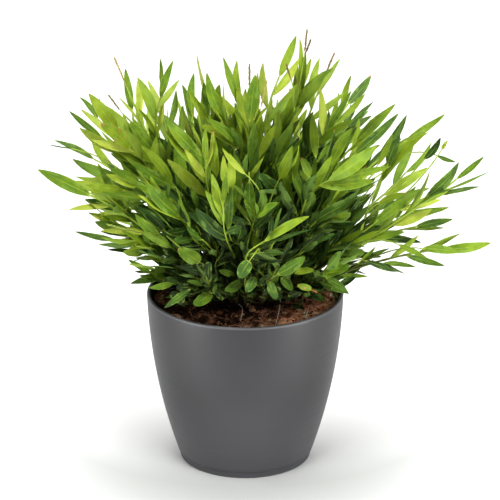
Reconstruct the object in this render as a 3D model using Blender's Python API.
"""Potted bamboo grass.

A round clump of thin, leafy culms grows out of a plug of potting soil in a plain, tapered cover pot.
The dimensions below are in millimetres, and MM turns them into metres. The origin is the middle of
the pot's underside, +Z is up, and the plant's best side faces -Y.
"""

import math

import bmesh
import bpy
import numpy as np
from mathutils.bvhtree import BVHTree

MM = 0.001
THIRD = 2 * math.pi / 3

# Pot: a cover pot of 14 cm across the rim
POT_HEIGHT = 125.0
RIM_RADIUS = 70.0
WALL_ARC_RADIUS = 413.0
WALL_ARC_FOOT = (48.5, 5.0)
FOOT_RADIUS = 47.2
FOOT_TOP = 4.2
FOOT_EDGE = 0.9
WALL = 2.6
FLOOR = 3.0
LIP_RADIUS = WALL / 2
POT_SIDES = 36
OUTER_LEVELS = (5.0, 26.0, 50.0, 76.0, 103.0)
INNER_LEVELS = (6.0, 50.0, 103.0)

# Soil: a plug that shrinks away from the wall at its top and carries the culms on its crown
SOIL_CROWN = 119.0
SOIL_CROWN_RADIUS = 34.0
SOIL_TOP = ((45.0, 118.1), (54.0, 117.4), (62.5, 116.4), (64.6, 113.0))
SOIL_SIDE_GAP = 0.6
SOIL_FALL = 0.03
SOIL_LUMP = 0.9
FLOOR_CORNER = 2.5
TOUCH_GAP = 0.3

# Culms
STEM_FOOT_RADIUS = 0.75
STEM_END_RADIUS = 0.45
FEET_SPREAD = 31.0
FEET_SPACING = 5.2
NODE_HALF = 0.9
NODES_BELOW_END = (8.0, 18.0, 29.0, 41.0, 54.0, 68.0)
LOWEST_NODE = 24.0
STRAIGHT_FOOT = 8.0
CLEARANCE = 0.35
POT_CLEARANCE = 1.2

# Leaves: lengths in mm, leans in degrees, turns in radians, widths as shares of the length
LEAF_THICKNESS = 0.7
LEAF_WIDEST = 0.40
SMALLEST_LEAF = 13.0
LARGEST_LEAF = 34.0
LENGTH_SPREAD = (0.8, 1.2)
LONGEST_SIDE_LEAF = 0.86
LANCE_WIDTH = 0.17
OVAL_WIDTH = 0.47
LANCE_FROM = 21.0
OVAL_BELOW = 12.0
WIDTH_SPREAD = (0.9, 1.2)
LEAST_LEAN = 9.0
LEAN_SPREAD = 26.0
LEAN_FAVOURS_LOW = 1.6
MORE_LEAN_A_TRY = 0.03
LESS_LENGTH_A_TRY = 0.018
BEND_SPREAD = (-0.06, 0.10)
FACING_SPREAD = (0.2, 1.0)
TURN_SPREAD = 0.3
MOST_TURN = 1.2

# The rule-made shoots: directions by the golden angle, from nearly upright down to low
GOLDEN_ANGLE = math.radians(137.508)
DOME_DIRECTIONS = 64
HIGHEST_SINE = 0.985
LOWEST_SINE = 0.2
STANDOUT_ROOM = math.radians(14)
MOST_CULMS = 56
LOW_REACH = 82.0
FULL_REACH = 186.0
FRONT_SHORTENING = 0.40
FLOWERING_SHARE = 0.12
REACH_SPREAD = (0.88, 1.0)
SHORTEST_END_LEAF = 17.0
LONGEST_END_LEAF = 36.0
END_LANCE_WIDTH = 0.18
END_OVAL_WIDTH = 0.38
TILT_SPREAD = (-0.25, 0.2)
END_TURN = 60.0
SPIKE_STALK = 8.0
SEED = 408

# Shoots that stand out of the clump, in mm from the middle of the soil's crown: the tip's x, z and y,
# the x and z of the end leaf's root, the turn of its broad side away from the front in degrees, its
# width, and the bare length of stalk below it. A width of zero marks a flower spike.
STANDOUT_SHOOTS = (
    (-143, 107, -28, -107, 86, 5, 9.0, 8),
    (-137, 102, 50, -108, 91, 35, 6.0, 8),
    (-124, 30, 56, -93, 27, 30, 5.0, 6),
    (-113, 73, 5, -88, 64, 10, 7.5, 0),
    (-123, 137, 10, -100, 118, 25, 5.0, 8),
    (-120, 124, 82, -106, 112, 30, 4.8, 0),
    (-107, 161, -25, -87, 130, 5, 9.0, 0),
    (-99, 125, 84, -88, 116, 0, 0, 14),
    (-86, 149, 72, -81, 121, 10, 5.8, 14),
    (-91, 173, 18, -82, 152, 0, 0, 14),
    (-61, 154, 80, -60, 136, 50, 5.0, 14),
    (-49, 183, -20, -58, 155, 15, 5.6, 0),
    (-37, 140, 90, -38, 113, 10, 5.8, 0),
    (-15, 186, -22, -5, 153, 20, 6.0, 0),
    (3, 155, 62, 3, 138, 0, 0, 6),
    (36, 183, 40, 24, 155, 25, 6.8, 6),
    (44, 178, 70, 42, 162, 0, 0, 10),
    (64, 158, 80, 57, 146, 0, 0, 10),
    (90, 147, 62, 73, 129, 10, 7.0, 0),
    (102, 160, -45, 76, 129, 30, 8.0, 0),
    (93, 118, 90, 73, 104, 40, 5.5, 0),
    (142, 125, 40, 113, 107, 20, 5.8, 6),
    (135, 91, 78, 116, 73, 20, 4.8, 6),
    (167, 107, 0, 148, 90, 20, 4.6, 10),
    (170, 105, -25, 132, 86, 65, 4.8, 10),
    (145, 122, -56, 124, 93, 10, 7.2, 6),
    (142, 43, 66, 112, 43, 20, 6.4, 0),
    (146, 62, -5, 120, 56, 15, 6.0, 0),
    (172, 50, -20, 139, 44, 5, 7.2, 9),
    (123, 14, 25, 98, 19, 30, 4.8, 0),
    (73, 14, -26, 50, 20, 30, 6.4, 0),
    (-82, 9, 6, -52, 16, 25, 7.0, 0),
)


def clear_scene():
    for old in list(bpy.data.objects):
        bpy.data.objects.remove(old, do_unlink=True)


def material(name, colour, roughness):
    """A plain Principled finish in linear RGB."""
    made = bpy.data.materials.new(name)
    made.use_nodes = True
    shader = made.node_tree.nodes["Principled BSDF"]
    shader.inputs["Base Color"].default_value = (*colour, 1.0)
    shader.inputs["Roughness"].default_value = roughness
    return made


def add_object(name, solid, finish, sharp_degrees):
    """Turns a bmesh in millimetres into a shaded object in metres.

    A twisted quad is cut along the diagonal that keeps it most nearly flat, so that a thin blade's
    two sides don't cross."""
    bmesh.ops.triangulate(solid, faces=solid.faces, quad_method="BEAUTY")
    bmesh.ops.recalc_face_normals(solid, faces=solid.faces)
    bmesh.ops.scale(solid, vec=(MM, MM, MM), verts=solid.verts)
    mesh = bpy.data.meshes.new(name)
    solid.to_mesh(mesh)
    solid.free()
    mesh.materials.append(finish)
    mesh.shade_smooth()
    mesh.set_sharp_from_angle(angle=math.radians(sharp_degrees))
    made = bpy.data.objects.new(name, mesh)
    bpy.context.scene.collection.objects.link(made)


def unit(vector):
    return vector / np.linalg.norm(vector)


def smooth_step(low, high, value):
    share = np.clip((value - low) / (high - low), 0.0, 1.0)
    return share * share * (3 - 2 * share)


# Pot and soil

def wall_radius(height):
    """Outer radius of the bowed wall: one circular arc from the foot to the rim."""
    foot_radius, foot_height = WALL_ARC_FOOT
    out = RIM_RADIUS - foot_radius
    up = POT_HEIGHT - foot_height
    chord = math.hypot(out, up)
    reach = math.sqrt(WALL_ARC_RADIUS**2 - (chord / 2) ** 2)
    centre_radius = (RIM_RADIUS + foot_radius) / 2 - reach * up / chord
    centre_height = (POT_HEIGHT + foot_height) / 2 + reach * out / chord
    return centre_radius + math.sqrt(WALL_ARC_RADIUS**2 - (height - centre_height) ** 2)


def pot_profile():
    """The turned outline, from the middle of the inner floor over the lip to the middle of the underside."""
    inner = [(0.0, FLOOR), (wall_radius(INNER_LEVELS[0]) - WALL - FLOOR_CORNER, FLOOR)]
    inner += [(wall_radius(level) - WALL, level) for level in INNER_LEVELS]
    lip_height = POT_HEIGHT - LIP_RADIUS
    lip_middle = wall_radius(lip_height) - LIP_RADIUS
    turns = [math.pi * step / 3 for step in range(4)]
    lip = [
        (lip_middle - LIP_RADIUS * math.cos(turn), lip_height + LIP_RADIUS * math.sin(turn))
        for turn in turns
    ]
    outer = [(wall_radius(level), level) for level in reversed(OUTER_LEVELS)]
    foot = [(FOOT_RADIUS, FOOT_TOP), (FOOT_RADIUS, FOOT_EDGE), (FOOT_RADIUS - FOOT_EDGE, 0.0), (0.0, 0.0)]
    return inner + lip + outer + foot


def soil_profile():
    """The plug's outline: its top from the crown to the shoulder, and its side a little inside the wall."""
    top = [(0.0, SOIL_CROWN), (SOIL_CROWN_RADIUS, SOIL_CROWN), *SOIL_TOP]
    inside = WALL + SOIL_SIDE_GAP
    side = [(wall_radius(level) - inside, level) for level in reversed(INNER_LEVELS[1:])]
    floor = FLOOR + TOUCH_GAP
    bottom = [(wall_radius(INNER_LEVELS[0]) - inside - FLOOR_CORNER, floor), (0.0, floor)]
    return top + side + bottom


def turned(profile, sides):
    """Spins an outline that starts and ends on the axis into a closed solid."""
    solid = bmesh.new()
    points = [solid.verts.new((radius, 0.0, height)) for radius, height in profile]
    edges = [solid.edges.new(pair) for pair in zip(points, points[1:])]
    bmesh.ops.spin(
        solid,
        geom=points + edges,
        cent=(0, 0, 0),
        axis=(0, 0, 1),
        angle=2 * math.pi,
        steps=sides,
        use_duplicate=False,
    )
    bmesh.ops.remove_doubles(solid, verts=solid.verts, dist=0.001)
    return solid


def lump(x, y):
    """A gentle unevenness between -1 and 1, from three waves that cross at odd angles."""
    return (
        math.sin(0.31 * x + 0.17 * y + 0.4)
        + math.sin(-0.14 * x + 0.36 * y + 1.9)
        + math.sin(0.52 * x - 0.41 * y + 3.1)
    ) / 3


def soil_solid():
    solid = turned(soil_profile(), POT_SIDES)
    for corner in solid.verts:
        radius = math.hypot(corner.co.x, corner.co.y)
        if radius > SOIL_CROWN_RADIUS + 1 and corner.co.z > SOIL_TOP[-1][1] - 1:
            corner.co.z += SOIL_LUMP * lump(corner.co.x, corner.co.y)
    return solid


def touches_pot(points):
    """True where a point of a shape comes too near the lip or the soil. Heights are above the crown."""
    radius = np.hypot(points[:, 0], points[:, 1])
    above_lip = POT_HEIGHT - SOIL_CROWN + POT_CLEARANCE
    lip = (radius > RIM_RADIUS - WALL - POT_CLEARANCE) & (points[:, 2] < above_lip)
    ground = points[:, 2] < POT_CLEARANCE - SOIL_FALL * np.clip(radius - SOIL_CROWN_RADIUS, 0, None)
    return bool((lip | ground).any())


# Where each shoot ends and where it starts. From here on heights are above the soil's crown.

def reach_towards(elevation, bearing):
    """Length of a shoot by its direction: short near the soil, full above 42 degrees, shorter in front."""
    full = LOW_REACH + (FULL_REACH - LOW_REACH) * smooth_step(8, 42, elevation)
    front = max(-math.sin(bearing), 0.0) * (1 - smooth_step(25, 50, elevation))
    return full * (1 - FRONT_SHORTENING * front)


def standout_plans():
    plans = []
    for tip_x, tip_z, tip_y, root_x, root_z, turn, width, bare in STANDOUT_SHOOTS:
        plans.append(
            {
                "tip": np.array((tip_x, tip_y, tip_z), float),
                "root": np.array((root_x, tip_y * 0.8, root_z), float),
                "turn": turn,
                "width": width,
                "bare": bare,
                "face": np.array((0.0, -0.93, 0.36)),
            }
        )
    return plans


def dome_plans(standouts):
    """Rule-made shoots, spread evenly over the dome, except close to a standout."""
    aims = np.array([unit(plan["tip"]) for plan in standouts])
    plans = []
    for index in range(DOME_DIRECTIONS):
        sine = HIGHEST_SINE + (LOWEST_SINE - HIGHEST_SINE) * (index + 0.5) / DOME_DIRECTIONS
        level = math.sqrt(1 - sine * sine)
        bearing = index * GOLDEN_ANGLE
        outward = np.array((math.cos(bearing), math.sin(bearing), 0.0))
        direction = level * outward + np.array((0.0, 0.0, sine))
        if (aims @ direction).max() > math.cos(STANDOUT_ROOM):
            continue
        rng = np.random.default_rng([SEED, 1, index])
        elevation = math.degrees(math.asin(sine))
        reach = reach_towards(elevation, bearing) * rng.uniform(*REACH_SPREAD)
        length = SHORTEST_END_LEAF + (LONGEST_END_LEAF - SHORTEST_END_LEAF) * smooth_step(70, 150, reach)
        share = END_LANCE_WIDTH + (END_OVAL_WIDTH - END_LANCE_WIDTH) * smooth_step(110, 70, reach)
        along = unit(direction + rng.uniform(*TILT_SPREAD) * np.array((0.0, 0.0, 1.0)))
        flowering = rng.uniform() < FLOWERING_SHARE and elevation > 35
        plans.append(
            {
                "tip": direction * reach,
                "root": direction * reach - along * length,
                "turn": rng.uniform(-END_TURN, END_TURN),
                "width": 0.0 if flowering else length * share,
                "bare": SPIKE_STALK if flowering else 0.0,
                "face": 0.75 * outward + np.array((0.0, 0.0, 0.66)),
            }
        )
    return plans


def spread_feet(plans):
    """Culm feet on the crown: each starts on its own shoot's side, and near ones push each other apart."""
    tips = np.array([plan["tip"] for plan in plans])
    level = np.linalg.norm(tips[:, :2], axis=1, keepdims=True) + 1e-6
    lean = level / np.linalg.norm(tips, axis=1, keepdims=True)
    feet = tips[:, :2] / level * (3 + 22 * lean)
    for _ in range(160):
        apart = feet[:, None, :] - feet[None, :, :]
        distance = np.linalg.norm(apart, axis=2) + np.eye(len(feet)) * 1e3
        push = np.clip(FEET_SPACING - distance, 0, None)[:, :, None] * apart / distance[:, :, None]
        feet += 0.25 * push.sum(axis=1)
        feet *= np.minimum(1.0, FEET_SPREAD / np.linalg.norm(feet, axis=1, keepdims=True))
    return feet


# A culm and its leaves

class Culm:
    """A culm's middle line, read by its length from the foot, with its side and face directions."""

    def __init__(self, plan, foot, bow, sway):
        start = np.array((foot[0], foot[1], 0.0))
        end = plan["root"]
        chord = end - start
        span = np.linalg.norm(chord)
        level = unit(plan["tip"][:2] + 1e-6)
        self.across = np.array((-level[1], level[0], 0.0))
        leaving = unit(unit(chord) + np.array((0.0, 0.0, 0.35 + bow)))
        heading = unit(plan["tip"] - plan["root"])
        first = start + leaving * span / 3 + self.across * sway * span
        second = end - heading * span / 3 + self.across * sway * span
        share = np.linspace(0, 1, 65)[:, None]
        rest = 1 - share
        self.line = (
            rest**3 * start + 3 * rest**2 * share * first + 3 * rest * share**2 * second + share**3 * end
        )
        steps = np.linalg.norm(np.diff(self.line, axis=0), axis=1)
        self.stations = np.concatenate(([0.0], np.cumsum(steps)))
        self.length = self.stations[-1]
        self.plan = plan
        self.nodes = []
        tangent, flat, upper = self.level_frame(self.length)
        face = plan["face"]
        self.roll = math.atan2(-float(face @ flat), float(face @ upper)) + math.radians(plan["turn"])

    def at(self, station):
        return np.array([np.interp(station, self.stations, self.line[:, axis]) for axis in range(3)])

    def level_frame(self, station):
        tangent = unit(self.at(min(station + 1.0, self.length)) - self.at(max(station - 1.0, 0.0)))
        flat = unit(self.across - float(self.across @ tangent) * tangent)
        return tangent, flat, np.cross(tangent, flat)

    def frame(self, station):
        tangent, flat, upper = self.level_frame(station)
        side = math.cos(self.roll) * flat + math.sin(self.roll) * upper
        return tangent, side, np.cross(tangent, side)

    def radius(self, station):
        return STEM_FOOT_RADIUS + (STEM_END_RADIUS - STEM_FOOT_RADIUS) * station / self.length

    def ring(self, station, angle, margin=0.0):
        """Three corners round the culm, whose sides keep about the culm's own radius from its middle."""
        _, side, face = self.frame(station)
        reach = self.radius(station) * 1.25 + margin
        turns = [angle + third * THIRD for third in range(3)]
        return [self.at(station) + reach * (math.cos(turn) * side + math.sin(turn) * face) for turn in turns]

    def tube(self, low, margin):
        """A coarse tube round the culm from a station upwards, for the clearance test."""
        count = max(int((self.length - low) / 6), 2)
        points = []
        for station in np.linspace(low, self.length, count):
            points += self.ring(station, math.pi / 2, margin)
        faces = []
        for near in range(3 * (count - 1)):
            beside = near + 1 if near % 3 < 2 else near - 2
            faces.append((near, beside, beside + 3, near + 3))
        return np.array(points), faces


def new_leaf(root, axis, wide, length, width, bend):
    """A leaf as its root, its axis, its width direction and its sizes. Its face looks back to the culm."""
    return {
        "root": root,
        "axis": axis,
        "wide": wide,
        "face": np.cross(axis, wide),
        "length": length,
        "width": width,
        "bend": bend,
    }


def leaf_middle(leaf, share):
    bend = leaf["bend"] * share * share
    return leaf["root"] + leaf["length"] * (share * leaf["axis"] + bend * leaf["face"])


def leaf_shape(leaf, margin=0.0, start=0.0):
    """The leaf as a kite with a little thickness, made larger all round by a margin."""
    root_width = 1.2 + (leaf["width"] - 1.2) * start / LEAF_WIDEST
    points = []
    for share, width in ((start, root_width), (LEAF_WIDEST, leaf["width"]), (1.0, 0.0)):
        across = (width / 2 + margin) * leaf["wide"]
        over = (LEAF_THICKNESS / 2 + margin) * leaf["face"]
        spot = leaf_middle(leaf, share)
        points += [spot + across + over, spot - across + over, spot - across - over, spot + across - over]
    faces = [(3, 2, 1, 0), (8, 9, 10, 11)]
    for near in range(8):
        beside = near + 1 if near % 4 < 3 else near - 3
        faces.append((near, beside, beside + 4, near + 4))
    return np.array(points), faces


def leaf_spots(leaf):
    """Points spread over the leaf, for the test against the pot."""
    shares = np.array((0.0, 0.12, 0.24, 0.36, 0.5, 0.65, 0.8, 1.0))
    half = np.interp(shares, (0.0, LEAF_WIDEST, 1.0), (0.6, leaf["width"] / 2, 0.0))
    middle = np.array([leaf_middle(leaf, share) for share in shares])
    edge = half[:, None] * leaf["wide"]
    return np.vstack((middle, middle + edge, middle - edge))


def turn_blade(leaf, twist):
    """The same leaf with its blade turned about its own axis."""
    wide = math.cos(twist) * leaf["wide"] + math.sin(twist) * leaf["face"]
    return new_leaf(leaf["root"], leaf["axis"], wide, leaf["length"], leaf["width"], leaf["bend"])


def leaf_size(culm, station):
    """Long, narrow leaves near a culm's end, small oval ones low down and on short culms."""
    up = smooth_step(0.25, 0.85, station / culm.length)
    tall = smooth_step(40, 125, culm.length)
    return SMALLEST_LEAF + (LARGEST_LEAF - SMALLEST_LEAF) * tall * (0.32 + 0.68 * up)


def facing_turn(leaf, face):
    """The turn about the leaf's axis, up to a quarter either way, that makes its blade face a direction."""
    turn = math.atan2(-float(face @ leaf["wide"]), float(face @ leaf["face"]))
    return turn - math.pi * round(turn / math.pi)


def side_leaf(culm, station, around, rng, attempt):
    """One draw of a side leaf: it leans off the culm, and its blade turns towards the light."""
    tangent, side, face = culm.frame(station)
    away = math.cos(around) * side + math.sin(around) * face
    lean = LEAST_LEAN + LEAN_SPREAD * rng.uniform() ** LEAN_FAVOURS_LOW
    lean = math.radians(lean * (1 + MORE_LEAN_A_TRY * attempt))
    axis = math.cos(lean) * tangent + math.sin(lean) * away
    size = leaf_size(culm, station) * (1 - LESS_LENGTH_A_TRY * attempt)
    left_to_tip = culm.length - station + float(np.linalg.norm(culm.plan["tip"] - culm.plan["root"]))
    length = min(size * rng.uniform(*LENGTH_SPREAD), LONGEST_SIDE_LEAF * left_to_tip)
    share = LANCE_WIDTH + (OVAL_WIDTH - LANCE_WIDTH) * smooth_step(LANCE_FROM, OVAL_BELOW, size)
    width = length * share * rng.uniform(*WIDTH_SPREAD)
    root = culm.at(station) + away * culm.radius(station)
    flat = new_leaf(root, axis, np.cross(tangent, away), length, width, rng.uniform(*BEND_SPREAD))
    turn = facing_turn(flat, culm.plan["face"]) * rng.uniform(*FACING_SPREAD) + rng.normal(0, TURN_SPREAD)
    leaf = turn_blade(flat, np.clip(turn, -MOST_TURN, MOST_TURN))
    leaf["away"] = away
    leaf["flat_wide"] = flat["wide"]
    return leaf


def end_leaf(culm):
    tip = culm.plan["tip"]
    root = culm.at(culm.length)
    _, side, _ = culm.frame(culm.length)
    axis = unit(tip - root)
    wide = unit(side - float(side @ axis) * axis)
    return new_leaf(root, axis, wide, float(np.linalg.norm(tip - root)), culm.plan["width"], 0.0)


# Growing the clump so that nothing runs into anything else

class Crowd:
    """Everything placed so far, as small search trees with a bounding ball each."""

    def __init__(self):
        self.trees = []
        self.owners = []
        self.balls = np.zeros((0, 4))

    @staticmethod
    def tree_and_ball(points, faces):
        middle = points.mean(axis=0)
        radius = np.linalg.norm(points - middle, axis=1).max()
        return BVHTree.FromPolygons(points.tolist(), faces), np.append(middle, radius)

    def add(self, owner, points, faces):
        tree, ball = self.tree_and_ball(points, faces)
        self.trees.append(tree)
        self.owners.append(owner)
        self.balls = np.vstack((self.balls, ball))

    def meets(self, points, faces, leave_out=None):
        """True where the shape cuts anything here that the left-out owner doesn't own."""
        tree, ball = self.tree_and_ball(points, faces)
        distance = np.linalg.norm(self.balls[:, :3] - ball[:3], axis=1)
        near = np.flatnonzero(distance < self.balls[:, 3] + ball[3])
        return any(self.owners[spot] != leave_out and tree.overlap(self.trees[spot]) for spot in near)


LINE_TRIES = 60
LEAF_TRIES = 26


def grow_lines(plans, feet, crowd):
    """The culms' middle lines. One that would run into another is bowed another way."""
    culms = []
    for number, (plan, foot) in enumerate(zip(plans, feet)):
        rng = np.random.default_rng([SEED, 2, number])
        for attempt in range(LINE_TRIES):
            sway = rng.normal(0, 0.02 + 0.004 * attempt)
            culm = Culm(plan, foot, rng.uniform(-0.2, 0.25), sway)
            points, faces = culm.tube(1.5, CLEARANCE + 0.2)
            if not crowd.meets(points, faces) and not touches_pot(points[9:]):
                break
        else:
            print("culm", number + 1, "found no free way")
        crowd.add(number, *culm.tube(0.0, 0.0))
        culms.append(culm)
    return culms


def grow_ends(culms, crowd):
    """The end leaves and spikes. A leaf that meets anything turns about its axis and gets narrower."""
    for number, culm in enumerate(culms):
        rng = np.random.default_rng([SEED, 3, number])
        culm.end = end_leaf(culm)
        for attempt in range(LEAF_TRIES):
            if not crowd.meets(*leaf_shape(culm.end, CLEARANCE), number):
                break
            culm.end = turn_blade(culm.end, rng.uniform(-0.9, 0.9))
            culm.end["width"] *= 0.96
        else:
            print("end leaf", number + 1, "found no free place")
        crowd.add(number, *leaf_shape(culm.end))


def free_leaf(culm, number, station, around, crowd, rng):
    """Draws side leaves until one is clear of everything, or gives up."""
    for attempt in range(LEAF_TRIES):
        leaf = side_leaf(culm, station, around, rng, attempt)
        if touches_pot(leaf_spots(leaf)):
            continue
        if crowd.meets(*leaf_shape(leaf, CLEARANCE), number):
            continue
        if crowd.meets(*leaf_shape(leaf, CLEARANCE, 0.25)):
            continue
        crowd.add(number, *leaf_shape(leaf))
        return leaf
    return None


def grow_nodes(culms, crowd):
    """Side leaves: each node carries one leaf, on the other side from the last."""
    for number, culm in enumerate(culms):
        for order, below in enumerate(NODES_BELOW_END):
            station = culm.length - below - culm.plan["bare"]
            if station < LOWEST_NODE:
                break
            rng = np.random.default_rng([SEED, 4, number, order])
            around = math.pi * ((order + number) % 2) + rng.normal(0, 0.45)
            leaf = free_leaf(culm, number, station, around, crowd, rng)
            if leaf:
                culm.nodes.append((station, around, leaf))
        culm.nodes.reverse()


def grow_clump():
    standouts = standout_plans()
    plans = (standouts + dome_plans(standouts))[:MOST_CULMS]
    crowd = Crowd()
    culms = grow_lines(plans, spread_feet(plans), crowd)
    grow_ends(culms, crowd)
    grow_nodes(culms, crowd)
    side_leaves = sum(len(culm.nodes) for culm in culms)
    print(len(culms), "culms with", side_leaves, "side leaves")
    return culms


# Culm solids

def pull_face(solid, face, places):
    """Extrudes a face and puts each new corner at its place. Returns the new face."""
    made = bmesh.ops.extrude_discrete_faces(solid, faces=[face])["faces"][0]
    for corner, place in zip(made.verts, places):
        corner.co = place
    return made


def face_middle(face):
    return np.array(face.calc_center_median())


def close_to_point(solid, face, point):
    """Extrudes a face and draws its corners together in one point."""
    made = pull_face(solid, face, [point] * len(face.verts))
    bmesh.ops.pointmerge(solid, verts=list(made.verts), merge_co=point)


def nearest_third(angle, previous):
    """The same three-sided ring, numbered so that it turns least from the ring below."""
    return angle + THIRD * round((previous - angle) / THIRD)


def pull_side_leaf(solid, quad, leaf, tangent):
    """Grows a side leaf out of a side of the culm: out to its widest section, then to its point."""
    middle = face_middle(quad)
    widest = leaf_middle(leaf, LEAF_WIDEST)
    places = []
    for corner in quad.verts:
        offset = np.array(corner.co) - middle
        across = math.copysign(leaf["width"] / 2, float(offset @ leaf["flat_wide"]))
        over = math.copysign(LEAF_THICKNESS / 2, float(offset @ tangent))
        places.append(widest + across * leaf["wide"] + over * leaf["face"])
    blade = pull_face(solid, quad, places)
    close_to_point(solid, blade, leaf_middle(leaf, 1.0))


def pull_end_leaf(solid, face, end):
    """The end leaf: three-sided sections that are widest below its middle, then its point."""
    root = face_middle(face)
    across = [float((np.array(corner.co) - root) @ end["wide"]) for corner in face.verts]
    ridge = min(range(3), key=lambda corner: abs(across[corner]))
    for share, width in ((LEAF_WIDEST, 1.0), (0.7, 0.66)):
        spot = leaf_middle(end, share)
        places = [
            spot + math.copysign(width * end["width"] / 2, value) * end["wide"] for value in across
        ]
        places[ridge] = spot + end["face"] * LEAF_THICKNESS
        face = pull_face(solid, face, places)
    close_to_point(solid, face, leaf_middle(end, 1.0))


def pull_spike(solid, face, culm):
    """A flower spike: a thin stalk that swells to a slim spindle and ends in a point."""
    end = culm.end
    ring = [np.array(corner.co) - culm.at(culm.length) for corner in face.verts]
    for share, radius in ((0.25, 0.5), (0.45, 1.0), (0.75, 0.85)):
        spot = leaf_middle(end, share)
        face = pull_face(solid, face, [spot + unit(spoke) * radius for spoke in ring])
    close_to_point(solid, face, leaf_middle(end, 1.0))


def culm_solid(culm):
    """One closed solid: a three-sided stem pulled up ring by ring, with leaves pulled out of its sides."""
    solid = bmesh.new()
    angle = math.pi / 2
    foot = np.array(culm.ring(0.0, angle))
    foot[:, 2] = TOUCH_GAP
    low = [solid.verts.new(place) for place in foot]
    solid.faces.new(list(reversed(low)))
    high = [solid.verts.new(place) for place in culm.ring(STRAIGHT_FOOT, angle)]
    for corner in range(3):
        beside = (corner + 1) % 3
        solid.faces.new((low[corner], low[beside], high[beside], high[corner]))
    face = solid.faces.new(high)
    lowest = culm.nodes[0][0] if culm.nodes else culm.length
    face = pull_face(solid, face, culm.ring((STRAIGHT_FOOT + lowest) / 2, angle))
    for station, around, leaf in culm.nodes:
        angle = nearest_third(around + THIRD / 2, angle)
        face = pull_face(solid, face, culm.ring(station - NODE_HALF, angle))
        below = list(face.verts)
        face = pull_face(solid, face, culm.ring(station + NODE_HALF, angle))
        above = list(face.verts)
        tangent, _, _ = culm.frame(station)
        middle = culm.at(station)
        sides = [
            solid.faces.get((below[corner], below[corner - 2], above[corner - 2], above[corner]))
            for corner in range(3)
        ]
        facing = max(sides, key=lambda quad: float((face_middle(quad) - middle) @ leaf["away"]))
        pull_side_leaf(solid, facing, leaf, tangent)
    angle = nearest_third(math.pi / 2, angle)
    face = pull_face(solid, face, culm.ring(culm.length, angle))
    if culm.plan["width"]:
        pull_end_leaf(solid, face, culm.end)
    else:
        pull_spike(solid, face, culm)
    bmesh.ops.translate(solid, vec=(0, 0, SOIL_CROWN), verts=solid.verts)
    return solid


def main():
    clear_scene()
    pot_finish = material("pot_plastic", (0.088, 0.088, 0.094), 0.5)
    soil_finish = material("potting_soil", (0.07, 0.028, 0.017), 0.95)
    leaf_finish = material("grass_leaf", (0.19, 0.33, 0.03), 0.5)
    add_object("pot", turned(pot_profile(), POT_SIDES), pot_finish, 35)
    add_object("soil", soil_solid(), soil_finish, 40)
    for number, culm in enumerate(grow_clump(), start=1):
        add_object(f"culm_{number:02d}", culm_solid(culm), leaf_finish, 30)


main()
